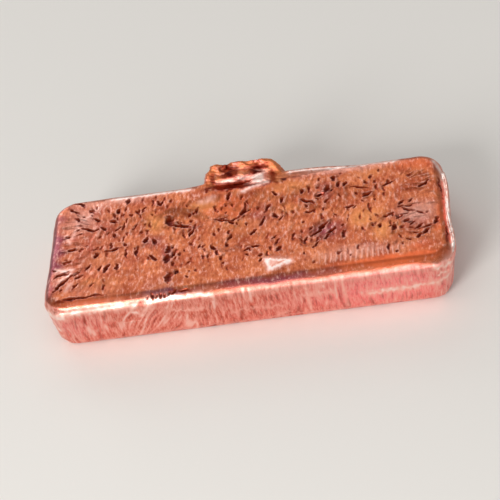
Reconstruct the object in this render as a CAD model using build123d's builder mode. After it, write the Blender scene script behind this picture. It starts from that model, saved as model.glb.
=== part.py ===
from build123d import *
import math
import os

# A small copper ingot, cast in an open mould with tapered walls and left as it cooled.
# The frame stands at the middle of the base: X along the bar, Y towards the edge where
# the pour was torn off, Z up. Sizes are in millimetres and angles in degrees.

# Bar
top_length = 120.0
top_width = 51.5
pour_height = 17.0
wall_draft = 8.0  # lets the bar drop out of its mould
top_corner_radius = 8.0
base_edge_radius = 3.0
meniscus_radius = 3.4  # molten copper rounds its free edge to about this

# Shrinkage sink, the wide dish left in the top because the middle froze last
sink_length = 96.0
sink_width = 36.0
sink_depth = 0.9

# Swell, the raised bead of the rim on both sides of the torn lip
swell_centre_x = 8.0
swell_length = 84.0
swell_rise = 0.9
swell_radius = 2.8
swell_lean = 60.0  # direction of its rise, from level towards the back

# Torn lip, a tongue of metal pulled up from the rim when the pour was cut off
lip_centre_x = -0.5
lip_width = 20.0
lip_rise = 4.6
lip_overhang = 1.7
lip_crest_thickness = 1.0
lip_foot_depth = 4.2  # from the back of the bar to where the hollow front face begins
lip_foot_sink = 0.7  # keeps its foot below the dished top
lip_root_drop = 3.6  # how far down the back of the bar the lip is rooted
lip_back_lean = 0.2  # sideways run of its back for each unit of fall, where it leaves the crest

# Ragged crest of the lip. Each: place as a share of its half width, height as a share of its rise
lip_crest = (
    (-1.30, -0.55),
    (-1.04, 0.55),
    (-0.80, 0.92),
    (-0.50, 0.80),
    (-0.20, 1.00),
    (0.12, 0.86),
    (0.46, 0.97),
    (0.84, 0.84),
    (1.10, 0.30),
    (1.42, -0.55),
)

# Folds rolled over along the foot of the lip, the tongue and a smaller one in front. Each: place
# along the lip, distance in from the back, height above the top, radius, length and heading
lip_folds = (
    (-1.6, 2.0, 1.1, 2.0, 17.5, 3.0),
    (4.2, 4.4, 0.1, 0.8, 11.0, 8.0),
)

# Pockets torn open between the tongue and the crest. Each: place as a share of the lip's half
# width, height as a share of its rise, length and slope
pocket_radius = 0.9
lip_pockets = (
    (-0.54, 0.70, 4.4, 32.0),
    (0.30, 0.82, 8.0, -7.0),
)

# Straight steps in the taper of the longer rods
rod_steps = 7

# Fin, the thin flash that stands along the end of the rim
fin_thickness = 0.7
fin_rise = 0.6
fin_inset = 0.6
fin_back_margin = 8.5  # from the back of the bar to the fin's far end
fin_sway = 0.3
fin_root_drop = 4.0
fin_end_drop = 2.2  # how far below the top the fin's ends die away

# Web, where the flash turns down round the front corner
web_stand = 0.7
web_thickness = 0.8
web_top_drop = 1.6
web_fullness = 1.4  # stand of its upper half, as a share of its stand

# Cold laps, faint seams in the walls where the metal paused as it rose
lap_height = 8.5
lap_width = 0.8
lap_depth = 0.25

# Each lap: direction its wall faces from X, and where it starts and ends along that wall,
# as shares of the wall's half length
lap_runs = ((270, 0.36, 0.84), (270, -0.72, -0.44), (90, -0.30, 0.50), (180, -0.50, 0.35))

# Puckers, shallow hollows where the skin was drawn in. Each: place as shares of the top's
# half length and half width, length, width, depth and heading from X
puckers = (
    (-0.30, 0.34, 15.0, 8.0, 0.45, -20.0),
    (0.38, -0.22, 13.0, 8.0, 0.35, 40.0),
    (-0.05, -0.20, 16.0, 7.0, 0.30, 10.0),
)

# The largest shrinkage pits. Each: place as for a pucker, length, width and heading from X
pit_rise = 0.12  # how far a pit's long axis stands above the top
largest_pits = (
    (-0.350, 0.300, 5.6, 1.9, -32.0),
    (-0.385, -0.150, 2.6, 1.2, 70.0),
    (-0.375, -0.310, 2.8, 1.2, 95.0),
    (-0.355, -0.690, 3.2, 1.4, 80.0),
    (-0.130, 0.320, 6.4, 1.0, 8.0),
    (0.010, 0.400, 4.6, 0.9, 38.0),
    (0.392, 0.505, 3.8, 1.6, 15.0),
    (0.460, 0.570, 2.4, 1.2, 60.0),
    (0.380, -0.200, 5.0, 0.9, 42.0),
    (0.790, -0.160, 3.0, 1.0, -25.0),
    (0.850, -0.300, 2.8, 0.9, 30.0),
    (-0.880, -0.470, 4.6, 1.0, 40.0),
)


def dip_radius(length, depth):
    """Radius of the arc that is this long from end to end and this deep."""
    return (length**2 / 4 + depth**2) / (2 * depth)


# Everything below follows from the sizes above
wall_slope = math.tan(math.radians(wall_draft))
side_run = pour_height * wall_slope  # how much further out each wall is at the top
base_length = top_length - 2 * side_run
base_width = top_width - 2 * side_run
base_corner_radius = top_corner_radius - side_run
back_y = top_width / 2
end_x = top_length / 2
flat_half_length = end_x - meniscus_radius
flat_half_width = back_y - meniscus_radius
roll_z = pour_height - meniscus_radius
fin_x = end_x - fin_inset
corner_x = end_x - top_corner_radius
corner_y = back_y - top_corner_radius
sink_across = dip_radius(sink_width, sink_depth)
sink_along = dip_radius(sink_length, sink_depth)
sink_axis_z = pour_height - sink_depth + sink_along


def top_height(x, y):
    """Height of the dished top at a place on it."""
    reach = sink_along - sink_across + math.sqrt(sink_across**2 - y**2)
    return min(pour_height, sink_axis_z - math.sqrt(reach**2 - x**2))


def tapered_rod(centre, length, radius, heading=0.0, slope=0.0, steps=3):
    """A rod of round section that tapers to a point at both ends, in straight steps."""
    shares = [2 * step / steps - 1 for step in range(steps + 1)]
    with BuildPart(mode=Mode.PRIVATE) as rod:
        with BuildSketch(Plane.XZ):
            with BuildLine():
                Polyline(*[(share * length / 2, radius * (1 - share**2)) for share in shares], close=True)
            make_face()
        revolve(axis=Axis.X)
    return rod.part.moved(Location(centre, (0, -slope, heading)))


def lip_blade():
    """The standing blade of the torn lip: its section runs along the rim, cut to a ragged crest."""
    foot = (back_y - lip_foot_depth, pour_height - lip_foot_sink)
    crest_front = (back_y + lip_overhang - lip_crest_thickness, pour_height + lip_rise)
    crest_back = (back_y + lip_overhang, pour_height + lip_rise - lip_crest_thickness / 2)
    hollow = (back_y - lip_foot_depth / 4, pour_height + lip_rise / 4)
    root_z = pour_height - lip_root_drop
    root = (back_y - lip_root_drop * wall_slope - meniscus_radius / 4, root_z)
    half = lip_width / 2
    crest = [(share * half, height * lip_rise) for share, height in lip_crest]
    back_of_rim = Plane(origin=(lip_centre_x, back_y, pour_height), x_dir=(1, 0, 0), z_dir=(0, -1, 0))
    with BuildPart(mode=Mode.PRIVATE) as blade:
        with BuildSketch(Plane(origin=(lip_centre_x, 0, 0), x_dir=(0, 1, 0), z_dir=(1, 0, 0))):
            with BuildLine():
                ThreePointArc(foot, hollow, crest_front)
                Line(crest_front, crest_back)
                TangentArc(crest_back, root, tangent=(lip_back_lean, -1))
                Polyline(root, (foot[0], root_z), foot)
            make_face()
        extrude(amount=lip_width, both=True)
        with BuildSketch(back_of_rim):
            with BuildLine():
                Spline(*crest)
                Polyline(crest[-1], (half, -2 * lip_root_drop), (-half, -2 * lip_root_drop), crest[0])
            make_face()
        extrude(amount=lip_width, both=True, mode=Mode.INTERSECT)
    return blade.part


def end_fin():
    """The wavering flash that stands along the end, and dies away at both of its ends."""
    far = back_y - fin_back_margin
    near = -corner_y - (top_corner_radius - fin_inset) * math.sin(math.radians(45))
    turn_x = corner_x + (top_corner_radius - fin_inset) * math.cos(math.radians(45))
    run = far - near
    shoulder = fin_rise + (fin_rise + fin_end_drop) / 3  # brings the middle of the top line to the rise
    with BuildPart(mode=Mode.PRIVATE) as fin:
        with BuildSketch():
            with BuildLine() as course:
                Spline(
                    (fin_x - fin_sway, far),
                    (fin_x + fin_sway, far - run / 3),
                    (fin_x - fin_sway, near + run / 3),
                    (fin_x, -corner_y),
                    (turn_x, near),
                )
            trace(course.line, line_width=fin_thickness)
        extrude(amount=2 * pour_height)
        with BuildSketch(Plane(origin=(fin_x, 0, pour_height), x_dir=(0, 1, 0), z_dir=(1, 0, 0))):
            with BuildLine():
                top_line = Bezier(
                    (near, -fin_end_drop),
                    (near + run / 6, shoulder),
                    (far - run / 6, shoulder),
                    (far, -fin_end_drop),
                )
                Polyline(top_line @ 1, (far, -fin_root_drop), (near, -fin_root_drop), top_line @ 0)
            make_face()
        extrude(amount=top_corner_radius, both=True, mode=Mode.INTERSECT)
    return fin.part


def corner_web():
    """The flash that comes down the middle of the front corner, from the rim to the lap."""
    centre = (base_length / 2 - base_corner_radius, -(base_width / 2 - base_corner_radius), 0)
    lap_reach = base_corner_radius + lap_height * wall_slope
    high = pour_height - web_top_drop - meniscus_radius / 2
    high_reach = base_corner_radius + high * wall_slope
    with BuildPart(mode=Mode.PRIVATE) as web:
        with BuildSketch(Plane(origin=centre, x_dir=(1, -1, 0), z_dir=(-1, -1, 0))):
            with BuildLine():
                Bezier(
                    (lap_reach - web_stand, lap_height),
                    (lap_reach + web_stand, lap_height + web_stand),
                    (high_reach + web_stand * web_fullness, high),
                    (high_reach - web_stand, pour_height - web_top_drop),
                )
                Polyline(
                    (high_reach - web_stand, pour_height - web_top_drop),
                    (lap_reach - 2 * web_stand, (pour_height + lap_height) / 2),
                    (lap_reach - web_stand, lap_height),
                )
            make_face()
        extrude(amount=web_thickness / 2, both=True)
    return web.part


with BuildPart() as ingot:
    # Tapered bar, its base edge eased and its free edge rolled over
    with BuildSketch():
        RectangleRounded(base_length, base_width, base_corner_radius)
    extrude(amount=pour_height, taper=-wall_draft)
    fillet(ingot.faces().sort_by(Axis.Z)[0].edges(), base_edge_radius)
    fillet(ingot.faces().sort_by(Axis.Z)[-1].edges(), meniscus_radius)

    # Sink, cut by a wide ring that only just dips into the top
    with Locations(Plane(origin=(0, 0, sink_axis_z), z_dir=(0, 1, 0))):
        Torus(sink_along - sink_across, sink_across, mode=Mode.SUBTRACT)

    # Puckers, each cut by a ring on edge that dips in by its depth, then the pits
    for share_x, share_y, length, width, depth, heading in puckers:
        x = share_x * flat_half_length
        y = share_y * flat_half_width
        turn = math.radians(heading)
        outer = dip_radius(length, depth)
        inner = dip_radius(width, depth)
        centre = (x, y, top_height(x, y) - depth + outer)
        with Locations(Plane(origin=centre, z_dir=(-math.sin(turn), math.cos(turn), 0))):
            Torus(outer - inner, inner, mode=Mode.SUBTRACT)
    for share_x, share_y, length, width, heading in largest_pits:
        x = share_x * flat_half_length
        y = share_y * flat_half_width
        centre = (x, y, top_height(x, y) + pit_rise)
        add(tapered_rod(centre, length, width / 2 + pit_rise, heading), mode=Mode.SUBTRACT)

    # Cold laps, each cut by a level ring that just grazes its wall
    for facing, start, end in lap_runs:
        out = Vector(1, 0, 0).rotate(Axis.Z, facing)
        along = Vector(abs(out.Y), abs(out.X), 0)
        wall_half = base_length / 2 if abs(out.Y) > abs(out.X) else base_width / 2
        stand = base_width / 2 if abs(out.Y) > abs(out.X) else base_length / 2
        outer = dip_radius((end - start) * wall_half, lap_depth)
        reach = stand + lap_height * wall_slope + outer - lap_depth
        with Locations(along * (start + end) / 2 * wall_half + out * reach + Vector(0, 0, lap_height)):
            Torus(outer - lap_width / 2, lap_width / 2, mode=Mode.SUBTRACT)

    # Swell of the rim, then the torn lip with its folds and the pockets behind its tongue
    swell_reach = meniscus_radius + swell_rise - swell_radius
    swell_y = flat_half_width + swell_reach * math.cos(math.radians(swell_lean))
    swell_z = roll_z + swell_reach * math.sin(math.radians(swell_lean))
    add(tapered_rod((swell_centre_x, swell_y, swell_z), swell_length, swell_radius, steps=rod_steps))
    add(lip_blade())
    for along, inward, stand, radius, length, heading in lip_folds:
        centre = (lip_centre_x + along, back_y - inward, pour_height + stand)
        add(tapered_rod(centre, length, radius, heading, steps=rod_steps))
    pocket_y = back_y + lip_overhang - lip_crest_thickness - pocket_radius / 2
    for share_x, share_z, length, slope in lip_pockets:
        centre = (lip_centre_x + share_x * lip_width / 2, pocket_y, pour_height + share_z * lip_rise)
        add(tapered_rod(centre, length, pocket_radius, slope=slope), mode=Mode.SUBTRACT)

    # Flash along the end and down the front corner
    add(end_fin())
    add(corner_web())

ingot.part.label = "ingot"
os.makedirs("parts", exist_ok=True)
export_step(ingot.part, "parts/ingot.step")
print(f"ingot: {len(ingot.solids())} solid, {ingot.part.volume / 1000:.2f} cm3, valid {ingot.part.is_valid}")
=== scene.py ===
"""Looks of the cast copper ingot: its frozen skin, oxide film and a plain studio stage."""

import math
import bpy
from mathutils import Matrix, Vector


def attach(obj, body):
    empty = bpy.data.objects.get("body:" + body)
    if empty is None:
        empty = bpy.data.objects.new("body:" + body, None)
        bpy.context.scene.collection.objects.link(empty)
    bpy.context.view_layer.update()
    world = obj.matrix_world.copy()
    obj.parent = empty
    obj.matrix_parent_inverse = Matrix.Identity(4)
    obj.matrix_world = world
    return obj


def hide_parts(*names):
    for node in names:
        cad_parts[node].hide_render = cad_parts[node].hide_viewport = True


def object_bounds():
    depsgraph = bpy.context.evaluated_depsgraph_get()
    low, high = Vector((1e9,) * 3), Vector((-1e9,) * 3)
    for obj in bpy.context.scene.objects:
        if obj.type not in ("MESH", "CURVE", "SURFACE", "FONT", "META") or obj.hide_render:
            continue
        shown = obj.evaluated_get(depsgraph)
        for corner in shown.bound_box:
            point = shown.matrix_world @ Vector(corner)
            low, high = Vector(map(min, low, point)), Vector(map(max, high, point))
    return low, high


bl_info = {
    "name": "Cast Copper Ingot",
    "version": (1, 0, 0),
    "blender": (4, 5, 0),
    "location": "3D View > Sidebar > Ingot",
    "description": "Dresses the ingot in its as-cast copper skin and sets a studio stage",
    "category": "Object",
}

import bpy
import numpy as np
from mathutils import Matrix, Vector

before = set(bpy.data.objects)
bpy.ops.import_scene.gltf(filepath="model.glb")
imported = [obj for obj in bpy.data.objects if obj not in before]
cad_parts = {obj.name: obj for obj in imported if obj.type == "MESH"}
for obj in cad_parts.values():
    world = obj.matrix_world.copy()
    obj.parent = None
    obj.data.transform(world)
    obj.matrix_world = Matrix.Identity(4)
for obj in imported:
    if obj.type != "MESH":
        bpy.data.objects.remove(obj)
CAD_LOW, CAD_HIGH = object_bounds()

MM = 0.001

# The ingot in mm, for laying patterns on it. The skin is made in mm and brought to metres at the end.
HALF_LENGTH = 60.0
HALF_WIDTH = 25.75
MOULD_CORNER = 8.0      # corner radius of the mould, which the walls follow
FROST_REACH = 16.0      # how far in from the edge the frozen skin is combed
FACE_LOW = 13.0         # points higher than this belong to the open face, its pits and the rim
LIP_X = -0.5            # middle of the torn lip

# The map of the open face, in mm. It reaches past the edge, and further at the back for the lip.
MAP_STEP = 0.1
MAP_LEFT = -HALF_LENGTH - 2.0
MAP_FRONT = -HALF_WIDTH - 3.0
MAP_LENGTH = 2 * HALF_LENGTH + 4.0
MAP_WIDTH = 2 * HALF_WIDTH + 8.0

# The comb of teeth along the front edge, in mm. A distance out starts FROST_REACH inside the edge.
COMB_PITCH = 1.5
COMB_STARTS = (5.6, 7.4)        # distance out over which the teeth fade in
COMB_ENDS = (10.0, 11.2)        # distance out over which they fade away
COMB_LEFT = (18.0, 26.0)        # x over which the sharp teeth begin
COMB_RIGHT = (42.0, 47.0)       # x over which they end
SMOOTH_BAND = (11.0, 12.6)      # distance out over which the ripples calm down to the smooth rim

# Where the open face and the torn lip begin, in mm
FACE_STARTS = (12.0, 14.5)      # height over which the walls give way to the open face
LIP_SIDES = (13.5, 11.0)        # distance from LIP_X over which the torn lip begins
LIP_FRONT = (19.5, 21.0)        # y over which it begins
LIP_FOOT = (15.5, 17.0)         # height over which it begins

# Relief of the walls and the base, in mm
FOOT_DEPTH = 0.5        # how far the wavy foot of the walls is drawn in
LAP_DEPTH = 0.35        # how far the lapped rim at the front left is drawn in
LUMP_HEIGHT = 0.4       # lumps of the front left corner
STROKE_HEIGHT = 0.05    # how far the pale strokes, painted highlights and bare metal, stand proud
BASE_WAVE = 0.05        # how uneven the base is

HOLLOW_STRETCH = 1.12   # how much longer and thinner a hollow is cut than its dark part looks
SCATTER_STEP = 2.2      # spacing of the small hollows between the seen ones, in mm
FACE_MOST_WEAR_AND_SHADING = 0.88        # most wear and painted highlight on the open face, just short of where the copper shows bare

# Hollows seen on the open face: x, y, length, width (mm), heading (degrees)
SEEN_HOLLOWS = (
    (-51.2, 22.0, 4.2, 0.9, -38), (-52.6, 18.9, 3.6, 0.9, -45), (-36.2, 20.2, 1.6, 1.0, 80),
    (-38.6, 16.1, 2.0, 0.8, 100), (-32.8, 14.0, 2.2, 0.8, 110), (-31.0, 15.2, 2.4, 0.7, 70),
    (-28.3, 18.0, 2.2, 0.6, 85), (-26.2, 17.0, 3.0, 0.9, 105), (-25.2, 17.4, 2.6, 0.7, 65),
    (-45.3, 13.3, 1.8, 0.8, -35), (-40.0, 11.7, 2.2, 1.0, -25), (-47.6, 9.2, 3.4, 0.9, -30),
    (-43.2, 8.6, 2.0, 0.9, -40), (-54.0, 6.7, 1.4, 0.9, -10), (-52.0, 0.5, 1.8, 1.1, 15),
    (-29.8, 1.2, 2.6, 1.0, 75), (-27.0, -0.2, 2.2, 1.1, -60), (-16.0, 2.4, 2.4, 0.8, 60),
    (-44.6, -3.5, 1.8, 1.1, 60), (-39.5, -1.5, 2.8, 0.8, 10), (-35.2, -4.0, 2.6, 0.7, 95),
    (-32.3, -3.6, 3.4, 0.7, 92), (-27.3, -7.6, 3.0, 1.0, -62), (-46.8, -8.6, 2.4, 0.8, 60),
    (-41.0, -10.0, 2.6, 0.9, 70), (-38.0, -9.5, 2.4, 0.9, 100), (-42.9, -9.4, 2.0, 0.7, 75),
    (-49.0, -12.3, 1.8, 0.9, 45), (-9.7, -6.3, 2.4, 0.9, -65), (-8.6, -8.8, 1.8, 1.0, -70),
    (-12.6, -10.0, 1.8, 0.7, 95), (-7.0, -11.4, 1.8, 0.8, 80), (-5.0, -2.3, 2.0, 0.9, 60),
    (-5.8, -5.2, 1.8, 0.9, 100), (-14.8, 11.7, 2.2, 0.8, 85), (-5.0, 16.0, 3.2, 0.9, 80),
    (9.0, 14.7, 1.8, 0.8, -60), (11.2, 11.7, 2.2, 1.0, 85), (17.2, 14.0, 1.8, 0.9, 75),
    (19.2, 14.4, 2.2, 0.7, 100), (28.2, 14.4, 1.6, 1.0, 80), (30.2, 14.2, 1.8, 1.0, 60),
    (18.3, 9.5, 2.6, 1.0, -40), (34.6, 12.0, 3.2, 0.7, -20), (43.0, 12.0, 2.8, 0.8, 30),
    (36.4, 8.4, 2.0, 1.2, 40), (31.0, 4.4, 2.4, 0.9, 5), (19.0, 4.5, 1.8, 0.9, 20),
    (53.4, 9.6, 3.4, 1.0, 42), (46.0, 2.0, 1.6, 0.8, 60), (48.6, 2.6, 1.6, 0.7, 40),
    (43.2, -8.4, 2.4, 1.1, 80), (45.2, -4.0, 2.2, 0.8, 45), (47.0, -6.2, 2.0, 1.0, 40),
    (48.6, -7.6, 2.0, 0.9, 50), (50.4, -9.2, 2.2, 0.8, 40), (52.0, -12.0, 1.8, 1.2, 60),
    (55.2, -8.2, 2.2, 1.1, 60), (53.0, -9.6, 1.8, 0.8, 30), (50.2, -13.6, 1.8, 0.8, 50),
    (51.2, -3.6, 2.4, 0.7, -40), (47.4, -1.6, 2.0, 0.7, -45), (37.0, -6.1, 1.4, 0.9, 85),
    (39.2, -6.6, 1.5, 0.9, 80), (28.6, -8.2, 2.4, 0.9, 85), (25.4, -5.0, 3.0, 1.0, 40),
    (22.6, -3.0, 3.2, 1.0, 50), (20.4, -5.6, 3.0, 1.0, 45), (23.8, -7.8, 2.6, 0.9, 60),
    (20.6, -11.0, 2.0, 0.9, 70), (17.6, -8.2, 2.6, 0.8, 80), (14.4, -5.6, 3.0, 0.7, 75),
    (3.0, -8.0, 2.4, 0.9, -10), (0.4, -8.9, 2.0, 0.9, 25), (9.5, -7.6, 2.4, 0.8, 70),
    (9.8, -10.6, 2.2, 0.9, 60), (41.0, -16.8, 2.4, 0.7, 88), (43.4, -19.2, 0.9, 0.8, 0),
    (42.0, -2.5, 2.4, 0.9, 20), (5.4, 3.4, 3.0, 0.9, 70), (6.6, 8.6, 2.8, 0.8, 60),
    (2.4, -1.2, 2.4, 0.9, 40), (8.6, 4.8, 2.4, 0.8, -60), (-54.9, -10.7, 3.2, 1.0, 35),
    (-22.6, 8.4, 3.6, 2.4, 100), (-19.6, 6.0, 4.6, 1.6, -22), (-22.9, -4.5, 3.0, 1.3, 90),
    (-22.9, -8.4, 2.8, 1.5, 90), (-22.0, -17.7, 3.0, 1.7, 88), (24.4, 13.4, 2.4, 1.9, 60),
    (22.8, 11.6, 1.8, 1.5, 30), (27.0, 17.8, 2.0, 1.4, 90), (-7.2, 6.3, 4.2, 1.0, -17),
    (-3.2, 6.2, 3.2, 1.0, 28), (-0.8, 9.0, 3.0, 1.1, 65), (-4.4, 4.6, 2.0, 0.9, -50),
    (-53.5, -14.2, 6.4, 1.1, 52), (-51.4, -21.3, 3.0, 0.8, 5), (-44.2, -21.4, 2.0, 0.8, 10),
    (-49.6, -16.0, 2.4, 0.7, 60), (-51.0, 14.5, 2.4, 0.7, -40), (-47.0, 17.5, 2.4, 0.7, -50),
)

# Creases and short dashes of the rim, the fin's gutter and the torn lip's foot, listed as the hollows are.
# They are cut as shallow grooves, and their dark film is painted shade
RIM_CREASES = (
    (-48.5, -21.8, 10.0, 0.8, 2), (-28.2, -23.7, 1.2, 0.6, 60), (-27.0, -23.8, 1.4, 0.7, 100),
    (-25.8, -23.9, 1.2, 0.6, 50), (-24.4, -23.9, 1.4, 0.8, 80), (-23.2, -24.0, 1.0, 0.6, 110),
    (-22.0, -23.9, 1.3, 0.7, 60), (-20.6, -23.8, 1.6, 0.6, 20), (-17.6, -23.7, 3.0, 0.5, 3),
    (57.7, 8.0, 7.0, 0.5, 92), (57.6, -14.0, 7.0, 0.5, 90), (-4.8, 20.3, 8.6, 1.2, -4),
)

# Golden stains of the oxide film on the open face: x, y, reach along x, reach along y (mm), strength
GOLD_STAINS = (
    (-27.0, 8.4, 3.4, 4.0, 1.0), (-12.5, 14.0, 4.0, 2.6, 0.9), (-3.0, 3.0, 8.0, 4.5, 0.4),
    (35.0, -2.0, 5.0, 4.6, 0.9), (40.5, -8.5, 3.6, 4.0, 0.9), (14.0, 17.5, 7.0, 3.4, 0.6),
    (10.0, 22.5, 2.6, 4.0, 0.9), (-43.0, -5.0, 7.0, 4.0, 0.35), (37.0, 18.5, 7.0, 3.0, 0.5),
    (12.0, 7.0, 6.0, 3.0, 0.5), (-44.0, -15.5, 6.0, 2.6, 0.45), (-9.8, 22.5, 1.6, 3.0, 0.6),
)
# Plum film, with painted shade in the dark band above the front rim's highlight and at the torn lip's foot:
# x, y, reach along x, reach along y (mm), strength
PLUM_STAINS_AND_SHADE = (
    (22.8, -4.6, 4.2, 3.6, 1.0), (-28.0, 0.6, 3.4, 3.0, 0.5), (50.0, -6.0, 5.0, 5.0, 0.3),
    (-23.0, -6.0, 1.4, 5.0, 0.6), (5.0, 5.0, 4.0, 5.0, 0.45), (23.5, 13.0, 2.6, 3.0, 0.7),
    (-22.0, -23.6, 8.0, 1.0, 1.3), (8.0, -23.6, 19.0, 1.4, 0.95), (-56.4, 4.0, 2.4, 17.0, 0.4),
    (-55.0, -12.5, 2.0, 4.5, 0.5), (-1.0, 20.6, 8.0, 1.0, 0.6), (-57.8, 0.0, 2.8, 24.0, 1.2),
    (-48.0, 4.0, 14.0, 20.0, 0.28),
)
# Orange film, with painted reflection that brightens the front rim's roll: x, y, reach along x, reach along
# y (mm), strength
EMBER_STAINS_AND_REFLECTION = (
    (42.0, -22.3, 20.0, 1.9, 1.0), (-46.0, -23.0, 13.0, 1.3, 0.9), (57.2, -4.0, 1.4, 18.0, 0.7),
    (58.6, -22.4, 2.0, 2.4, 0.9), (-5.0, 12.0, 9.0, 6.0, 0.55), (52.0, 20.0, 9.0, 4.0, 0.5),
    (50.0, -18.5, 6.0, 3.0, 0.5),
)
# Barely filmed metal, with painted sheen along the rear rim: x, y, reach along x, reach along y (mm),
# strength
FLUSH_AND_SHEEN_STAINS = (
    (8.6, -17.4, 2.6, 1.7, 0.6), (33.0, -16.6, 12.0, 2.2, 0.2), (-50.0, 14.0, 4.0, 5.0, 0.3),
    (50.0, -3.0, 4.5, 4.0, 0.35), (-40.0, 21.4, 12.0, 1.2, 0.35), (30.0, 21.8, 14.0, 1.4, 0.35),
)

# Pale strokes on the open face and the fin: bare metal, and painted highlights along the rear rim and the
# fin's top: x, y of both ends, width (mm), strength
FACE_BARE_AND_HIGHLIGHTS = (
    (-41.0, 22.2, -17.0, 22.4, 1.4, 1.1), (14.0, 23.2, 46.0, 22.6, 1.4, 1.1),
    (-52.6, 6.0, -50.6, 13.0, 1.2, 0.5), (-50.6, 13.0, -44.4, 19.4, 1.3, 0.6),
    (-55.8, -8.2, -51.4, -8.8, 1.5, 0.9), (-55.2, -13.4, -51.6, -10.2, 0.9, 0.85),
    (-52.4, -18.0, -51.2, -14.6, 1.0, 0.6), (-54.6, 7.6, -53.0, 4.0, 1.0, 0.6),
    (6.0, -15.0, 7.0, -19.8, 1.2, 1.4), (6.8, -20.0, 12.8, -17.4, 1.3, 1.4),
    (6.4, -15.4, 12.4, -17.0, 1.0, 1.3), (-13.6, 15.4, -10.4, 16.2, 1.9, 0.5),
    (59.2, -21.0, 58.9, -6.0, 1.5, 1.2), (58.9, -6.0, 59.2, 14.0, 1.4, 1.2),
    (59.3, 14.0, 57.0, 20.0, 1.3, 1.0), (59.2, -21.0, 56.6, -24.6, 2.4, 0.6),
    (-0.6, 17.9, 6.6, 20.8, 1.4, 1.1),
)

# Pale strokes on the front wall and its rolled rim, mostly painted highlights where lamps glint on the rim,
# the laps and the foot, with some bare metal: x, z of both ends, width (mm), strength
WALL_BARE_AND_HIGHLIGHTS = (
    (-60.0, 11.8, -54.0, 12.9, 2.8, 1.0), (-54.0, 13.4, -48.5, 14.8, 2.6, 0.8),
    (-48.5, 14.8, -39.0, 14.5, 2.3, 0.75), (-39.0, 14.5, -32.5, 14.2, 2.1, 0.75),
    (-33.5, 12.8, -31.0, 10.6, 1.2, 0.9), (-32.0, 9.6, -28.0, 14.6, 0.8, 0.65),
    (-30.0, 9.8, -26.4, 14.4, 0.7, 0.55), (-28.5, 15.6, -19.0, 15.4, 1.4, 0.95),
    (-19.0, 15.4, -10.5, 15.0, 1.2, 0.85), (-11.0, 13.9, 56.0, 13.9, 2.0, 0.2),
    (-22.0, 10.6, -13.5, 10.0, 1.1, 0.7), (-5.0, 7.0, 9.0, 7.1, 0.9, 0.5),
    (15.0, 9.8, 24.0, 9.8, 1.2, 0.6), (34.0, 7.2, 47.0, 7.5, 1.9, 1.0),
    (47.0, 7.6, 56.5, 8.8, 1.6, 0.9), (-59.0, 8.8, -56.0, 7.0, 1.3, 0.9),
    (-58.0, 5.2, -55.5, 4.0, 1.0, 0.7), (-45.0, 1.5, 50.0, 1.7, 0.7, 0.35),
    (16.5, 12.8, 16.9, 2.0, 0.9, 0.7), (27.0, 13.0, 27.4, 3.0, 0.9, 0.6),
    (8.0, 3.0, 10.5, 4.0, 0.9, 0.5), (53.0, 14.0, 58.0, 13.4, 1.4, 0.9),
    (54.0, 11.3, 58.0, 10.8, 1.1, 0.9),
)

# Rosier film on the front wall: x, z, reach along x, reach along z (mm), strength
WALL_ROSE = ((43.0, 11.6, 12.0, 2.4, 1.0), (40.0, 8.0, 24.0, 9.0, 1.0), (-52.0, 9.0, 8.0, 5.0, 0.5))

# Painted shadows in the torn lip's pockets, along its foot and at its ends: x, z, reach along x, reach along
# z (mm), strength
LIP_SHADOWS = (
    (-4.6, 19.9, 2.1, 0.7, 1.2), (4.6, 19.3, 2.4, 0.5, 1.2), (-3.0, 16.9, 6.0, 0.5, 1.0),
    (8.4, 17.6, 1.2, 0.8, 0.5), (-10.0, 18.0, 1.0, 1.4, 0.6),
)
# Pale metal and painted highlights on the torn lip's tongue: x, z, reach along x, reach along z (mm),
# strength
LIP_FLUSH_AND_HIGHLIGHTS = ((-5.5, 18.2, 3.4, 0.7, 0.8), (-0.5, 18.5, 3.0, 0.8, 0.9), (4.0, 18.0, 3.0, 0.8, 1.0))
# Golden film on the torn lip's wings: x, z, reach along x, reach along z (mm), strength
LIP_GOLD = ((-9.0, 19.6, 2.4, 2.4, 0.8), (9.4, 19.0, 3.6, 3.0, 0.9), (0.0, 20.6, 2.6, 0.8, 0.9))

# Lamps, all aimed at the middle of the floor: name, place (m), width and height (m), power (W)
LAMPS = (
    ("Front window", (-0.45, -0.8, 0.38), (0.36, 0.4), 8.1),
    ("Front softbox", (0.2, -1.0, 0.16), (1.4, 0.3), 3.0),
    ("Rear softbox", (-0.1, 0.8, 0.62), (0.7, 0.35), 1.0),
    ("Overhead softbox", (-0.1, -0.25, 0.95), (0.9, 0.9), 1.3),
    ("Rear left softbox", (-0.6, 0.92, 0.36), (0.45, 0.4), 1.7),
)
FLOOR_HALF_SIDE = 6.0   # metres, so that its far edge stays out of low views


def linear(hex_colour):
    """The linear colour, with alpha 1, of an sRGB hex value."""
    parts = [int(hex_colour[i:i + 2], 16) / 255 for i in (1, 3, 5)]
    return tuple(c / 12.92 if c <= 0.04045 else ((c + 0.055) / 1.055) ** 2.4 for c in parts) + (1.0,)


def ramp(low, high, value):
    """A smooth step from 0 at low to 1 at high. Where low is the larger number, it falls as value grows."""
    part = np.clip((value - low) / (high - low), 0.0, 1.0)
    return part * part * (3.0 - 2.0 * part)


def lattice(i, j, seed):
    """A repeatable random number from -1 to 1 for each whole pair i, j."""
    mixed = (i * 374761393 + j * 668265263 + seed * 1442695041) & 0xFFFFFFFF
    mixed = ((mixed ^ (mixed >> 13)) * 1274126177) & 0xFFFFFFFF
    return ((mixed ^ (mixed >> 16)) & 0xFFFFFF) / 0x7FFFFF - 1.0


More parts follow.
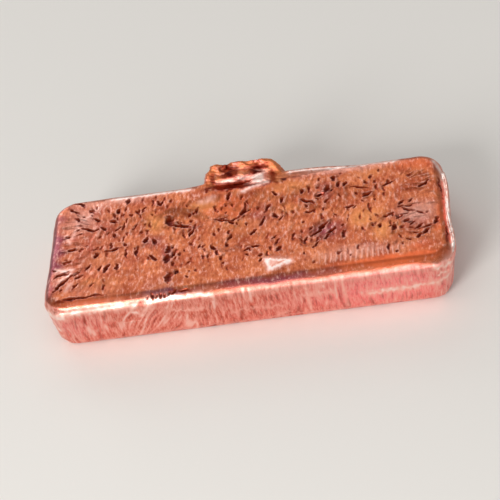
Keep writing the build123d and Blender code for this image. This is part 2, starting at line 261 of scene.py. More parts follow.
def noise(u, v, seed, around=0):
    """A smooth random field from -1 to 1, one swell to each unit of u and v.

    Where u runs round a closed loop, around is the whole number of units in the loop."""
    i = np.floor(u).astype(np.int64)
    j = np.floor(v).astype(np.int64)
    a, b = u - i, v - j
    a, b = a * a * (3 - 2 * a), b * b * (3 - 2 * b)
    i1 = i + 1
    if around:
        i, i1 = i % around, i1 % around
    low = lattice(i, j, seed) * (1 - a) + lattice(i1, j, seed) * a
    high = lattice(i, j + 1, seed) * (1 - a) + lattice(i1, j + 1, seed) * a
    return low * (1 - b) + high * b


def swells(x, y, length, width, seed):
    """A smooth random field from -1 to 1, whose swells are this long along x and wide along y, in mm."""
    return noise(x / length, y / width, seed)


def round_edge(x, y, corner):
    """Where points lie by the ingot's edge, for this corner radius.

    The distance along the edge, the distance out from the core, which lies one corner radius inside the
    edge, and the outward heading in radians, 0 at the front and growing to the right."""
    core_x = HALF_LENGTH - corner
    core_y = HALF_WIDTH - corner
    near_x = np.clip(x, -core_x, core_x)
    near_y = np.clip(y, -core_y, core_y)
    out_x = x - near_x
    out_y = y - near_y
    turn = (np.arctan2(out_y, out_x) + math.pi / 2) % (2 * math.pi)
    side = np.minimum((turn / (math.pi / 2) + 1e-9).astype(int), 3)
    straight = np.choose(side, (
        near_x + core_x,
        2 * core_x + near_y + core_y,
        3 * core_x + 2 * core_y - near_x,
        4 * core_x + 3 * core_y - near_y,
    ))
    return straight + turn * corner, np.hypot(out_x, out_y), turn


def edge_length(corner):
    """The whole way round the edge for a corner radius."""
    return 4 * (HALF_LENGTH - corner) + 4 * (HALF_WIDTH - corner) + 2 * math.pi * corner


def combed(along, out, spacing, reach, corner, seed):
    """Ripples that stand square to the edge, this far apart along it and this long, in mm."""
    around = round(edge_length(corner) / spacing)
    return noise(along / edge_length(corner) * around, out / reach, seed, around)


def upright(along, z, spacing, reach, seed):
    """Upright ripples of the walls, this far apart and this tall, in mm."""
    return combed(along, z, spacing, reach, MOULD_CORNER, seed)


class FaceMap:
    """Heights (mm), hollows with their oxide and painted shade, and wear with painted shading of the open
    face on a square grid.
    """

    def __init__(self):
        self.columns = int(MAP_LENGTH / MAP_STEP)
        self.rows = int(MAP_WIDTH / MAP_STEP)
        across = MAP_LEFT + np.arange(self.columns) * MAP_STEP
        back = MAP_FRONT + np.arange(self.rows) * MAP_STEP
        self.x, self.y = np.meshgrid(across, back)
        self.height = np.zeros_like(self.x)
        self.hollow_and_shade = np.zeros_like(self.x)
        self.wear_and_shading = np.zeros_like(self.x)
        self.bent_x = self.ragged(self.x, 7, 6)
        self.bent_y = self.ragged(self.y, 8, 5)
        self.uneven = 1 + 0.6 * swells(self.x, self.y, 0.7, 0.7, 4)

    def ragged(self, grid, broad_seed, fine_seed):
        """The grid with a random shift, which makes the outlines of hollows ragged."""
        broad = 0.4 * swells(self.x, self.y, 2.2, 2.2, broad_seed)
        fine = 0.2 * swells(self.x, self.y, 0.8, 0.8, fine_seed)
        return grid + broad + fine

    def sample(self, grid, x, y):
        """The grid's value between its points."""
        u = np.clip((x - MAP_LEFT) / MAP_STEP, 0, self.columns - 1.001)
        v = np.clip((y - MAP_FRONT) / MAP_STEP, 0, self.rows - 1.001)
        i = u.astype(int)
        j = v.astype(int)
        a, b = u - i, v - j
        low = grid[j, i] * (1 - a) + grid[j, i + 1] * a
        high = grid[j + 1, i] * (1 - a) + grid[j + 1, i + 1] * a
        return low * (1 - b) + high * b

    def sink(self, x, y, length, width, depth, heading, dark=1.0):
        """One long hollow with a faint raised lip. dark is how dark its film gets; in the rim's creases that
        dark is painted shade.
        """
        reach = length + width
        left, right = (int((x + k * reach - MAP_LEFT) / MAP_STEP) for k in (-1, 1))
        front, back = (int((y + k * reach - MAP_FRONT) / MAP_STEP) for k in (-1, 1))
        window = (slice(max(front, 0), back), slice(max(left, 0), right))
        from_x = self.bent_x[window] - x
        from_y = self.bent_y[window] - y
        c = math.cos(math.radians(heading))
        s = math.sin(math.radians(heading))
        u = (from_x * c + from_y * s) / (length / 2)
        v = (from_y * c - from_x * s) / (width / 2)
        away = (u * u + v * v) * self.uneven[window]
        bowl = np.exp(-away ** 1.4)
        lip = np.exp(-((np.sqrt(away) - 1.35) / 0.4) ** 2)
        self.height[window] += depth * (0.22 * lip - bowl)
        self.hollow_and_shade[window] = np.maximum(self.hollow_and_shade[window], dark * np.exp(-0.8 * away))

    def blurred(self, reach):
        """The height averaged over a square that reaches this far (mm) each way."""
        steps = int(reach / MAP_STEP)
        height = self.height
        for axis in (0, 1):
            total = np.cumsum(height, axis)
            height = (np.roll(total, -steps, axis) - np.roll(total, steps + 1, axis)) / (2 * steps + 1)
        return height


def open_face(sizes):
    """The frozen relief of the open face, and its wear and painted shading: paler on ridges and teeth,
    darker in grooves.
    """
    face = FaceMap()
    x, y = face.x, face.y
    along, out = round_edge(x, y, FROST_REACH)[:2]
    bend_x = 0.7 * swells(x, y, 2.9, 2.9, 10)
    bend_y = 0.7 * swells(x, y, 2.9, 2.9, 9)

    # Ripples stand square to the edge where the metal froze in from it, and run front to back in the middle
    by_edge = ramp(1.0, 6.0, out)
    folds = combed(along + bend_x, out + bend_y, 1.3, 3.6, FROST_REACH, 11) * by_edge
    folds += swells(x + bend_x, y + bend_y, 1.3, 3.0, 13) * (1 - by_edge)
    fine = combed(along + bend_x, out, 0.7, 2.4, FROST_REACH, 12) * by_edge
    fine += swells(x + bend_x, y, 0.7, 1.8, 14) * (1 - by_edge)

    comb_band = ramp(*COMB_STARTS, out) * (y < 0)
    teeth = np.sin(2 * math.pi * (x + 0.5 * bend_x) / COMB_PITCH) * comb_band * (1 - ramp(*COMB_ENDS, out))
    teeth *= 0.2 + 0.8 * ramp(*COMB_LEFT, x) * (1 - ramp(*COMB_RIGHT, x))
    quiet = 1 - 0.85 * ramp(*SMOOTH_BAND, out)
    strokes = (0.6 * folds + 0.5 * fine) * quiet * (1 - 0.6 * comb_band)
    face.height += sizes.ripple_height / MM * (strokes + 0.25 * teeth)
    heave = swells(x, y, 11.0, 8.0, 17) + 0.5 * swells(x, y, 5.0, 4.5, 18)
    face.height += sizes.heave_height / MM * heave

    for px, py, length, width, heading in SEEN_HOLLOWS:
        depth = sizes.hollow_depth / MM * min(1.0, width)
        face.sink(px, py, HOLLOW_STRETCH * length, width / HOLLOW_STRETCH, depth, heading)
    for px, py, length, width, heading in RIM_CREASES:
        face.sink(px, py, length, width, 0.5 * sizes.hollow_depth / MM, heading)
    scatter_hollows(face, sizes)

    # Ridges and teeth lose their film and are painted lighter, and grooves are painted darker: wear with
    # painted highlight and painted shade
    above = (face.height - face.blurred(1.2)) / (2.4 * sizes.ripple_height / MM)
    face.wear_and_shading = np.clip(0.5 + 0.4 * np.maximum(teeth, 0.0) + above, 0, FACE_MOST_WEAR_AND_SHADING)
    return face


def scatter_hollows(face, sizes):
    """Small hollows between the seen ones, crowded here and there, pointing at the nearest edge."""
    rng = np.random.default_rng(5)
    for grid_x in np.arange(-56.0, 56.0, SCATTER_STEP):
        for grid_y in np.arange(-21.0, 21.0, SCATTER_STEP):
            px = grid_x + rng.uniform(-1.0, 1.0)
            py = grid_y + rng.uniform(-1.0, 1.0)
            length = rng.uniform(0.9, 2.3)
            width = rng.uniform(0.45, 0.8)
            depth = rng.uniform(0.25, 0.8)
            skew = rng.normal(0, 17)
            chance = rng.uniform()
            out, turn = (float(v) for v in round_edge(np.array(px), np.array(py), FROST_REACH)[1:])
            crowd = float(swells(np.array(px), np.array(py), 6.0, 6.0, 33))
            # They thin out sooner in front, where the comb is
            limit = 7.5 if py < -12.0 else 9.5
            if chance > (0.24 + 0.4 * crowd) * (1 - 0.9 * float(ramp(limit, limit + 1.5, out))):
                continue
            heading = math.degrees(turn) - 90 if out > 0.5 else 90
            dark = 0.3 + 0.6 * depth
            face.sink(px, py, length, width, depth * sizes.hollow_depth / MM, heading + skew, dark)


def spot_cover(x, y, spots, ragged=1.6):
    """How strongly the listed spots cover each point, with borders ragged by about this many mm. The lists
    hold stains of film, painted shade and painted highlights.
    """
    ragged_x = x + ragged * swells(x, y, 2 * ragged, 2 * ragged, 31)
    ragged_y = y + ragged * swells(x, y, 2 * ragged, 2 * ragged, 32) * 0.6
    cover = np.zeros_like(x)
    for spot_x, spot_y, reach_x, reach_y, strength in spots:
        away = ((ragged_x - spot_x) / reach_x) ** 2 + ((ragged_y - spot_y) / reach_y) ** 2
        cover = np.maximum(cover, strength * np.exp(-away))
    return cover


def stroke(u, v, lines, ragged=0.35):
    """How strongly the listed pale strokes cover each point, with borders jagged by about this many mm."""
    jagged = v + ragged * (1.3 * swells(u, v, 0.6, 2.2, 35) + 0.7 * swells(u, v, 1.9, 1.9, 36))
    cover = np.zeros_like(u)
    for u0, v0, u1, v1, width, strength in lines:
        run, rise = u1 - u0, v1 - v0
        part = np.clip(((u - u0) * run + (jagged - v0) * rise) / (run ** 2 + rise ** 2), 0, 1)
        away = np.hypot(u - u0 - part * run, jagged - v0 - part * rise)
        cover = np.maximum(cover, strength * np.exp(-(away / (0.6 * width)) ** 2))
    return cover * (0.8 + 0.25 * swells(u, v, 0.6, 0.9, 37))


def wall_relief(x, y, z, sizes):
    """The chilled skin of the walls: its relief in mm, its wear with painted shading, and where it is bare
    or carries a painted highlight.
    """
    along = round_edge(x, y, MOULD_CORNER)[0]
    front = ramp(-19.0, -22.0, y)

    # Upright striations, which slant over a stretch of the front wall where the metal flowed sideways
    slant = 0.7 * (z - 8.0) * ramp(-41.0, -33.0, x) * ramp(-15.0, -24.0, x) * front
    sway = 0.4 * upright(along, z, 5.0, 4.0, 20) - slant
    fine = upright(along + sway, z, 0.8, 3.6, 21) + 0.8 * upright(along + sway, z, 0.5, 2.6, 22)
    waves = upright(along, z, 7.0, 9.0, 23) + 0.7 * upright(along, z, 3.1, 5.0, 24)
    below_rim = 1 - 0.7 * ramp(12.5, 14.5, z)
    height = sizes.striation_height / MM * fine * below_rim + sizes.wave_height / MM * waves

    # The foot waves in and out, the rim laps over at the front left, and that corner is lumpy
    foot = (1 - ramp(0.5, 4.5, z)) * (0.5 + 0.5 * upright(along, z * 0, 6.0, 1.0, 25))
    front_left = (1 - ramp(-2.4, 2.4, x + 33.0 - 0.8 * (z - 8.0))) * front
    lap = front_left * ramp(8.0, 17.0, z)
    near_corner = np.exp(-((x + 56.0) ** 2 + (y + 22.0) ** 2) / 30.0)
    lumps = near_corner * (upright(along, z, 2.2, 2.2, 26) - 0.6)

    # Pale strokes on the front wall: mostly painted highlights on the rolled rim, the laps and the foot
    bare_and_highlight = stroke(x, z, WALL_BARE_AND_HIGHLIGHTS, 0.5) * ramp(-14.0, -18.0, y)
    # Ridges of the striations paler and grooves darker: wear with painted highlight and painted shade
    wear_and_shading = np.clip(0.62 + 0.34 * fine + 0.03 * waves, 0, 1)
    height = height - FOOT_DEPTH * foot - LAP_DEPTH * lap + LUMP_HEIGHT * lumps + STROKE_HEIGHT * bare_and_highlight
    return height, wear_and_shading, bare_and_highlight


def sunken(x, y, z, cell=0.5, reach=5):
    """How far each point lies below the mean height round it, in mm, over this many cells each way."""
    i = ((x + HALF_LENGTH + 4) / cell).astype(int)
    j = ((y + HALF_WIDTH + 4) / cell).astype(int)
    shape = (i.max() + reach + 2, j.max() + reach + 2)
    flat = i * shape[1] + j
    high = (z > FACE_LOW).astype(float)
    count = np.bincount(flat, weights=high, minlength=shape[0] * shape[1]).reshape(shape)
    total = np.bincount(flat, weights=high * z, minlength=shape[0] * shape[1]).reshape(shape)
    for axis in (0, 1):
        total = sum(np.roll(total, k, axis) for k in range(-reach, reach + 1))
        count = sum(np.roll(count, k, axis) for k in range(-reach, reach + 1))
    return total[i, j] / np.maximum(count[i, j], 1) - z


def face_part(up, z):
    """How far each point belongs to the open face, by how far up it faces and its height."""
    return ramp(0.35, 0.8, up) * ramp(*FACE_STARTS, z)


def torn_part(x, y, z):
    """How far each point belongs to the torn lip."""
    return ramp(*LIP_SIDES, np.abs(x - LIP_X)) * ramp(*LIP_FRONT, y) * ramp(*LIP_FOOT, z)


def read_points(mesh):
    """A mesh's points as an array."""
    points = np.empty(len(mesh.vertices) * 3, np.float32)
    mesh.vertices.foreach_get("co", points)
    return points.reshape(-1, 3).astype(float)


def read_normals(mesh):
    """A mesh's point normals as an array."""
    normals = np.empty(len(mesh.vertices) * 3, np.float32)
    mesh.vertex_normals.foreach_get("vector", normals)
    return normals.reshape(-1, 3).astype(float)


def move_points(mesh, points):
    """Moves a mesh's points, in mm, and keeps them inside the CAD box."""
    points = np.clip(points, np.array(CAD_LOW) / MM, np.array(CAD_HIGH) / MM)
    mesh.vertices.foreach_set("co", points.astype(np.float32).ravel())
    mesh.update()


def mark(mesh, name, red, green, blue, alpha=None):
    """Stores three or four covers, each from 0 to 1, on the mesh's points for the material."""
    alpha = np.ones_like(red) if alpha is None else alpha
    values = np.stack([red, green, blue, alpha], 1).clip(0, 1).astype(np.float32)
    mesh.attributes.new(name, "FLOAT_COLOR", "POINT").data.foreach_set("color", values.ravel())


def with_modifier(obj, kind, **settings):
    """The object's mesh after one modifier."""
    modifier = obj.modifiers.new(kind.title(), kind)
    for key, value in settings.items():
        setattr(modifier, key, value)
    bpy.context.view_layer.update()
    mesh = bpy.data.meshes.new_from_object(obj.evaluated_get(bpy.context.evaluated_depsgraph_get()))
    obj.modifiers.clear()
    return mesh


def add(tree, kind, settings=None, **links):
    """Adds a node. Links and values go to its sockets by name, with _ for a space, or by number, as i0."""
    node = tree.nodes.new(kind)
    for key, value in (settings or {}).items():
        setattr(node, key, value)
    for key, value in links.items():
        by_number = key[0] == "i" and key[1:].isdigit()
        socket = node.inputs[int(key[1:]) if by_number else key.replace("_", " ")]
        if isinstance(value, bpy.types.NodeSocket):
            tree.links.new(value, socket)
        else:
            socket.default_value = value
    return node


def new_material(name):
    """A material with an empty node tree, and that tree."""
    material = bpy.data.materials.new(name)
    material.use_nodes = True
    material.node_tree.nodes.clear()
    return material, material.node_tree


def cast_copper(colours):
    """Copper frozen in an open mould.

    It cools in air, so a thin oxide film turns the bare metal's pale pink to salmon on the walls and to
    orange, gold and plum on the open face. Hollows hold the darkest film. Painted highlights lie along the
    rims, the fin and the torn lip, and painted shade darkens the creases, the grooves and the pits."""
    material, tree = new_material("As-cast copper, oxide film and painted light")
    place = add(tree, "ShaderNodeTexCoord").outputs["Object"]
    # film holds gold, plum with painted shade, ember with painted reflection and the torn lip; metal holds
    # bare metal with painted highlights, hollows with painted shade, and wear with painted shading; skin
    # holds the walls, rose film and pits darkened with painted shade
    film = add(tree, "ShaderNodeAttribute", {"attribute_name": "film"})
    metal = add(tree, "ShaderNodeAttribute", {"attribute_name": "metal"})
    skin = add(tree, "ShaderNodeAttribute", {"attribute_name": "skin"})
    gold, plum_and_shade, ember_and_reflection = add(tree, "ShaderNodeSeparateColor", Color=film.outputs["Color"]).outputs
    bare_and_highlight, hollow_and_shade, wear_and_shading = add(tree, "ShaderNodeSeparateColor", Color=metal.outputs["Color"]).outputs
    wall, rose, sunk_film_and_shade = add(tree, "ShaderNodeSeparateColor", Color=skin.outputs["Color"]).outputs
    torn = film.outputs["Alpha"]

    # The mix node's sockets: 0 is its factor, 4 and 5 are its two vectors, 6 and 7 its two colours. Its
    # second output is the vector and its third the colour.
    mix = "ShaderNodeMix"
    of_vectors = {"data_type": "VECTOR"}
    of_colours = {"data_type": "RGBA"}

    # Film as thick as it grew, in clouds about 6 mm across
    cloud = add(tree, "ShaderNodeTexNoise", Vector=place, Scale=1 / (6 * MM), Detail=4.0, Roughness=0.6)
    cloud = add(tree, "ShaderNodeMapRange", Value=cloud.outputs["Fac"],
                From_Min=0.35, From_Max=0.65).outputs[0]

    # Frozen grain is about 0.3 mm across on the real bar, too fine to show. It is drawn 0.8 mm across and
    # 2.2 mm long from front to back on the open face, and 0.45 mm across and 2.2 mm tall on the walls.
    face_grain = [1 / (size * MM) for size in (0.8, 2.2, 0.8)]
    wall_grain = [1 / (size * MM) for size in (0.45, 0.45, 2.2)]
    on_face = add(tree, "ShaderNodeMapping", Vector=place, Scale=face_grain).outputs[0]
    on_wall = add(tree, "ShaderNodeMapping", Vector=place, Scale=wall_grain).outputs[0]
    lie = add(tree, mix, of_vectors, i0=wall, i4=on_face, i5=on_wall).outputs[1]
    grain = add(tree, "ShaderNodeTexNoise", Vector=lie, Scale=1.0, Detail=3.0, Roughness=0.6).outputs["Fac"]

    # The walls were chilled against the mould, so they are a little barer than the open face
    shine = add(tree, "ShaderNodeMath", {"operation": "MULTIPLY_ADD"}, i0=wall, i1=0.08, i2=grain).outputs[0]

    face = add(tree, mix, of_colours, i0=cloud, i6=colours.face_deep, i7=colours.face_warm).outputs[2]
    side = add(tree, mix, of_colours, i0=cloud, i6=colours.wall_deep, i7=colours.wall_pink).outputs[2]
    side = add(tree, mix, of_colours, i0=rose, i6=side, i7=colours.wall_rose).outputs[2]
    colour = add(tree, mix, of_colours, i0=wall, i6=face, i7=side).outputs[2]
    # Each layer: what it follows, the values of that at which its cover starts and is full, its most cover
    # and its colour
    layers = (
        (plum_and_shade, 0.0, 1.0, 1.0, colours.film_plum_and_shade),
        (shine, 0.53, 0.7, 0.6, colours.flush),
        (shine, 0.48, 0.3, 0.65, colours.deep_film_and_shade),
        (wear_and_shading, 0.5, 0.1, 0.7, colours.deep_film_and_shade),
        (wear_and_shading, 0.6, 1.0, 0.75, colours.flush),
        (gold, 0.1, 0.9, 0.7, colours.film_gold),
        (wear_and_shading, 0.9, 1.0, 0.3, colours.bare_and_highlight),
        (ember_and_reflection, 0.2, 0.8, 0.85, colours.film_ember_and_reflection),
        (sunk_film_and_shade, 0.0, 0.5, 0.8, colours.deep_film_and_shade),
        (sunk_film_and_shade, 0.35, 0.9, 1.0, colours.hollow_and_shade),
        (bare_and_highlight, 0.0, 0.6, 0.9, colours.flush),
        (bare_and_highlight, 0.5, 1.0, 0.9, colours.bare_and_highlight),
        (hollow_and_shade, 0.03, 0.4, 0.85, colours.deep_film_and_shade),
        (hollow_and_shade, 0.45, 1.0, 1.0, colours.hollow_and_shade),
    )
    for follows, start, full, most, tint in layers:
        cover = add(tree, "ShaderNodeMapRange", Value=follows, From_Min=start, From_Max=full, To_Max=most)
        colour = add(tree, mix, of_colours, i0=cover.outputs[0], i6=colour, i7=tint).outputs[2]

    # Duller and glossier flecks about 0.9 mm across, and the torn lip duller all over
    fleck = add(tree, "ShaderNodeTexNoise", Vector=place, Scale=1 / (0.9 * MM), Detail=3.0, Roughness=0.6)
    glossy = colours.gloss_rough - 0.08
    dull = colours.gloss_rough + 0.1
    rough = add(tree, "ShaderNodeMapRange", Value=fleck.outputs["Fac"],
                From_Min=0.3, From_Max=0.7, To_Min=glossy, To_Max=dull).outputs[0]
    rough = add(tree, "ShaderNodeMapRange", Value=torn, To_Min=rough, To_Max=colours.tear_rough).outputs[0]

    # The grain's relief, at most 0.06 mm, is finer than the mesh
    bump = add(tree, "ShaderNodeBump", Strength=0.6, Distance=0.06 * MM, Height=grain).outputs[0]
    shader = add(tree, "ShaderNodeBsdfPrincipled", Base_Color=colour, Metallic=1.0,
                 Roughness=rough, Normal=bump)
    add(tree, "ShaderNodeOutputMaterial", Surface=shader.outputs[0])
    return material


def painted_board(colour):
    """Board with matt white paint, which gives a soft pale ground with no reflection."""
    material, tree = new_material("Painted board, matt")
    shader = add(tree, "ShaderNodeBsdfPrincipled", Base_Color=colour, Roughness=0.9)
    add(tree, "ShaderNodeOutputMaterial", Surface=shader.outputs[0])
    return material


def length_property(name, description, millimetres):
    """A small length that the user can change."""
    return bpy.props.FloatProperty(
        name=name, description=description, default=millimetres * MM,
        subtype="DISTANCE", unit="LENGTH", precision=5)


def colour_property(name, description, hex_colour):
    """A colour that the user can change."""
    return bpy.props.FloatVectorProperty(
        name=name, description=description, default=linear(hex_colour),
        subtype="COLOR", size=4, min=0.0, max=1.0)


def roughness_property(name, description, roughness):
    """A roughness that the user can change."""
    return bpy.props.FloatProperty(
        name=name, description=description, default=roughness, subtype="FACTOR", min=0.05, max=1.0)


class IngotSizes(bpy.types.PropertyGroup):
    """Sizes of the cast skin"""
    grain_size: length_property("Mesh grain", "Spacing of the skin's points before thinning", 0.27)
    triangles: bpy.props.IntProperty(
        name="Triangles", description="Most triangles the skin may have", default=190000)
    ripple_height: length_property("Ripple height", "Height of the frozen ripples on the open face", 0.17)
    heave_height: length_property("Heave height", "Height of the slow swells of the open face", 0.16)
    hollow_depth: length_property("Hollow depth", "Depth of the shrinkage hollows", 0.5)
    tear_height: length_property("Tear height", "Height of the torn texture on the lip", 0.34)
    striation_height: length_property(
        "Striation height", "Height of the upright striations on the walls", 0.05)
    wave_height: length_property("Wave height", "Height of the slow waves on the walls", 0.12)


class IngotColours(bpy.types.PropertyGroup):
    """Colours and gloss of the copper and its oxide film"""
    face_warm: colour_property("Face, warm", "Orange film on the open face", "#D67A4E")
    face_deep: colour_property("Face, deep", "Redder film on the open face", "#B45838")
    film_gold: colour_property("Film, gold", "Thin golden film", "#EA965A")
    # Orange film, and painted reflection on the rolled rim
    film_ember_and_reflection: colour_property("Film, ember", "Smooth orange film on the rolled rim", "#E86C3E")
    # Plum film, and painted shade in the band above the front rim's highlight
    film_plum_and_shade: colour_property("Film, plum", "Thicker plum film", "#8E4450")
    # Deeper film, and painted shade in the grooves, the pits and round the hollows
    deep_film_and_shade: colour_property("Film, deep", "Thicker red-brown film in the grooves", "#8A2E16")
    # Barely filmed metal, and the edges of painted highlights
    flush: colour_property("Flush", "Barely filmed metal on ridges", "#F8BCAC")
    # Bare metal, and the core of painted highlights
    bare_and_highlight: colour_property("Bare", "Bare metal with no film", "#FFF2EA")
    # Thick oxide in the hollows, and painted shade in the creases, the fin's gutter and the torn lip
    hollow_and_shade: colour_property("Hollow", "Thick oxide down in the hollows", "#560E06")
    wall_pink: colour_property("Wall, pink", "Chilled skin of the walls", "#E27E6E")
    wall_deep: colour_property("Wall, deep", "Chilled skin with more film", "#D26A54")
    wall_rose: colour_property("Wall, rose", "Rosier film on the walls", "#FA9090")
    tear_rough: roughness_property("Tear roughness", "Roughness of the torn lip", 0.6)
    gloss_rough: roughness_property("Roughness", "Roughness of the cast skin", 0.36)


class StageSettings(bpy.types.PropertyGroup):
    """Floor, room light and camera"""
    floor: colour_property("Floor", "Pale floor", "#E6E2DC")
    backdrop: bpy.props.FloatProperty(
        name="Room light", description="Strength of the even light of the room", default=0.4)
    camera_place: bpy.props.FloatVectorProperty(
        name="Camera place", description="Where the camera stands",
        default=(51.3 * MM, -371.3 * MM, 316.2 * MM), subtype="TRANSLATION", unit="LENGTH")
    camera_aim: bpy.props.FloatVectorProperty(
        name="Camera aim", description="Point that the camera looks at",
        default=(0, 0, 8.5 * MM), subtype="TRANSLATION", unit="LENGTH")
    camera_roll: bpy.props.FloatProperty(
        name="Camera roll", description="Turn of the camera about its line of sight",
        default=math.radians(12.6), subtype="ANGLE", unit="ROTATION")
    lens: bpy.props.FloatProperty(
        name="Lens", description="Focal length in mm", default=118.0, unit="CAMERA")


class INGOT_OT_skin(bpy.types.Operator):
    """Casts the copper skin over the ingot's solid"""
    bl_idname = "ingot.skin"
    bl_label = "Cast the skin"

    def execute(self, context):
        """Makes the skin, gives it its material and stands it for the solid."""
        sizes = context.scene.ingot_sizes
        face = open_face(sizes)
        skin = self.pour(context, sizes)
        self.freeze(skin.data, face, sizes)
        self.thin(skin, sizes)
        self.paint_film_and_light(skin.data, face, sizes)
        skin.data.transform(Matrix.Scale(MM, 4))
        skin.data.materials.clear()
        skin.data.materials.append(cast_copper(context.scene.ingot_colours))
        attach(skin, "root")
        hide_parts("ingot")
        return {"FINISHED"}

    def pour(self, context, sizes):
        """A copy of the solid in mm, with points evenly spread and the torn lip's steps softened."""
        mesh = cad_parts["ingot"].data.copy()
        mesh.transform(Matrix.Scale(1 / MM, 4))
        skin = bpy.data.objects.new("cast_skin", mesh)
        context.scene.collection.objects.link(skin)
        skin.data = with_modifier(skin, "REMESH", mode="VOXEL", voxel_size=sizes.grain_size / MM)
        x, y, z = read_points(skin.data).T
        near_lip = (np.abs(x - LIP_X) < 15) & (y > 18.5) & (z > 15.0)
        softened = skin.vertex_groups.new(name="torn lip")
        softened.add(np.flatnonzero(near_lip).tolist(), 1.0, "REPLACE")
        skin.data = with_modifier(skin, "SMOOTH", factor=0.5, iterations=5, vertex_group="torn lip")
        skin.vertex_groups.clear()
        return skin

    def freeze(self, mesh, face, sizes):
        """Moves the skin's points by the relief of the open face, the walls, the torn lip and the base."""
        points = read_points(mesh)
        normals = read_normals(mesh)
        x, y, z = points.T
        up = normals[:, 2]
        upward = face_part(up, z)
        sideways = (1 - upward) * ramp(-0.9, -0.5, up)
        shift = upward * face.sample(face.height, x, y) + sideways * wall_relief(x, y, z, sizes)[0]

        # Tears run along the lip's sloping face and drop a little to the right
        slope = y + z + 0.3 * x
        tears = (0.8 * swells(x, slope, 3.4, 1.8, 51) + 0.6 * swells(x, slope, 1.4, 0.8, 52)
                 + 0.3 * swells(x, slope, 0.7, 0.6, 53))
        torn = torn_part(x, y, z)
        shift = shift * (1 - 0.8 * torn) + torn * sizes.tear_height / MM * tears

        shift -= ramp(0.5, 0.9, -up) * BASE_WAVE * (1 + swells(x, y, 3, 3, 41))
        move_points(mesh, points + normals * shift[:, None])

    def thin(self, skin, sizes):
        """Thins the skin to the number of triangles that it may have."""
        count = sum(len(polygon.vertices) - 2 for polygon in skin.data.polygons)
        skin.data = with_modifier(skin, "DECIMATE", ratio=min(1.0, sizes.triangles / count))
        skin.data.shade_smooth()
        move_points(skin.data, read_points(skin.data))

    def paint_film_and_light(self, mesh, face, sizes):
        """Marks on the skin where each film of oxide lies and where the metal is bare, with painted
        highlights on the rims, the fin and the lip, and painted shade in the creases, grooves and pits.
        """
        x, y, z = read_points(mesh).T
        up = read_normals(mesh)[:, 2]
        upward = face_part(up, z)
        torn = torn_part(x, y, z)
        chill = 1 - ramp(0.35, 0.75, up)

        gold, plum_and_shade, ember_and_reflection = (spot_cover(x, y, spots) * (1 - chill)
                             for spots in (GOLD_STAINS, PLUM_STAINS_AND_SHADE, EMBER_STAINS_AND_REFLECTION))
        gold = np.maximum(gold, torn * spot_cover(x, z, LIP_GOLD))
        mark(mesh, "film", gold, plum_and_shade, ember_and_reflection, torn)

        wall_wear_and_shading, wall_bare_and_highlight = wall_relief(x, y, z, sizes)[1:]
        # Pale spots and strokes on the open face: bare metal, with painted highlights on the rear rim and
        # the fin
        face_bare_and_highlight = np.maximum(spot_cover(x, y, FLUSH_AND_SHEEN_STAINS), stroke(x, y, FACE_BARE_AND_HIGHLIGHTS)) * ramp(0.1, 0.4, up)
        bare_and_highlight = np.maximum(np.maximum(face_bare_and_highlight, wall_bare_and_highlight), torn * spot_cover(x, z, LIP_FLUSH_AND_HIGHLIGHTS, 0.8))
        # Thick oxide in the open face's hollows, painted shade in its creases, and painted shadows on the
        # torn lip
        hollow_and_shade = np.maximum(face.sample(face.hollow_and_shade, x, y) * upward, torn * spot_cover(x, z, LIP_SHADOWS, 0.5))
        wear_and_shading = upward * face.sample(face.wear_and_shading, x, y) + (1 - upward) * wall_wear_and_shading
        mark(mesh, "metal", bare_and_highlight, hollow_and_shade, wear_and_shading)

        # Pits of the solid are found by their depth, away from the rim and the lip, and darkened: thicker
        # film with painted shade
        inside_rim = ramp(13.5, 14.5, z) * ramp(57.0, 55.0, np.abs(x)) * ramp(22.5, 21.0, np.abs(y))
        sunk_film_and_shade = ramp(0.06, 0.4, sunken(x, y, z)) * inside_rim
        mark(mesh, "skin", chill, spot_cover(x, z, WALL_ROSE) * (y < 0), sunk_film_and_shade)


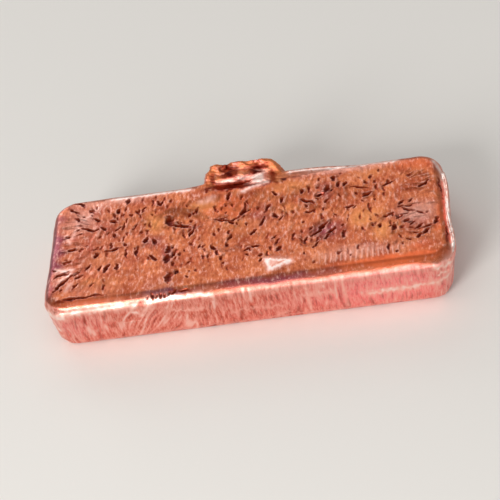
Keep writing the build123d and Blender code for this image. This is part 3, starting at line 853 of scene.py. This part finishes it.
class INGOT_OT_stage(bpy.types.Operator):
    """Sets the floor, the room light, the lamps and the camera"""
    bl_idname = "ingot.stage"
    bl_label = "Set the stage"

    def execute(self, context):
        """Sets the whole stage."""
        scene = context.scene
        self.lay_floor(scene)
        self.light_room(scene)
        for name, place, size, power in LAMPS:
            self.hang_lamp(scene, name, place, size, power)
        self.place_camera(scene)
        scene.view_settings.view_transform = "Standard"
        return {"FINISHED"}

    def lay_floor(self, scene):
        """One pale square that the ingot rests on."""
        side = FLOOR_HALF_SIDE
        corners = [(-side, -side, 0), (side, -side, 0), (side, side, 0), (-side, side, 0)]
        mesh = bpy.data.meshes.new("floor")
        mesh.from_pydata(corners, [], [(0, 1, 2, 3)])
        mesh.materials.append(painted_board(scene.ingot_stage.floor))
        floor = bpy.data.objects.new("floor", mesh)
        scene.collection.objects.link(floor)

    def light_room(self, scene):
        """Even white light from all round."""
        world = bpy.data.worlds.new("Room")
        world.use_nodes = True
        tree = world.node_tree
        tree.nodes.clear()
        strength = scene.ingot_stage.backdrop
        light = add(tree, "ShaderNodeBackground", Color=(1.0, 1.0, 1.0, 1.0), Strength=strength)
        add(tree, "ShaderNodeOutputWorld", Surface=light.outputs[0])
        scene.world = world

    def hang_lamp(self, scene, name, place, size, power):
        """One soft lamp, aimed at the middle of the floor."""
        data = bpy.data.lights.new(name, "AREA")
        data.shape = "RECTANGLE"
        data.size, data.size_y = size
        data.energy = power
        lamp = bpy.data.objects.new(name, data)
        lamp.location = place
        lamp.rotation_euler = (-Vector(place)).to_track_quat("-Z", "Y").to_euler()
        scene.collection.objects.link(lamp)

    def place_camera(self, scene):
        """The camera at the photograph's viewing angle."""
        stage = scene.ingot_stage
        camera = bpy.data.objects.new("camera", bpy.data.cameras.new("camera"))
        camera.data.lens = stage.lens
        camera.data.sensor_width = 36.0
        camera.data.clip_start = 0.01
        place = Vector(stage.camera_place)
        aim = Vector(stage.camera_aim)
        turn = (aim - place).to_track_quat("-Z", "Y").to_matrix().to_4x4()
        roll = Matrix.Rotation(-stage.camera_roll, 4, "Z")
        camera.matrix_world = Matrix.Translation(place) @ turn @ roll
        scene.collection.objects.link(camera)
        scene.camera = camera


class INGOT_PT_panel(bpy.types.Panel):
    """Lists the ingot's settings and its makers"""
    bl_label = "Ingot"
    bl_idname = "INGOT_PT_panel"
    bl_space_type = "VIEW_3D"
    bl_region_type = "UI"
    bl_category = "Ingot"

    def draw(self, context):
        """Shows each setting, and a button for each maker."""
        for group in (context.scene.ingot_sizes, context.scene.ingot_colours, context.scene.ingot_stage):
            for name in group.bl_rna.properties.keys():
                if name not in ("rna_type", "name"):
                    self.layout.prop(group, name)
        self.layout.operator(INGOT_OT_skin.bl_idname)
        self.layout.operator(INGOT_OT_stage.bl_idname)


CLASSES = (IngotSizes, IngotColours, StageSettings, INGOT_OT_skin, INGOT_OT_stage, INGOT_PT_panel)


def register():
    """Adds the classes and the scene's settings."""
    for cls in CLASSES:
        bpy.utils.register_class(cls)
    bpy.types.Scene.ingot_sizes = bpy.props.PointerProperty(type=IngotSizes)
    bpy.types.Scene.ingot_colours = bpy.props.PointerProperty(type=IngotColours)
    bpy.types.Scene.ingot_stage = bpy.props.PointerProperty(type=StageSettings)


def unregister():
    """Takes the scene's settings and the classes away."""
    for name in ("ingot_sizes", "ingot_colours", "ingot_stage"):
        delattr(bpy.types.Scene, name)
    for cls in reversed(CLASSES):
        bpy.utils.unregister_class(cls)


def main():
    """Makes the ingot's skin and the stage."""
    register()
    bpy.ops.ingot.skin()
    bpy.ops.ingot.stage()


if __name__ == "__main__":
    main()
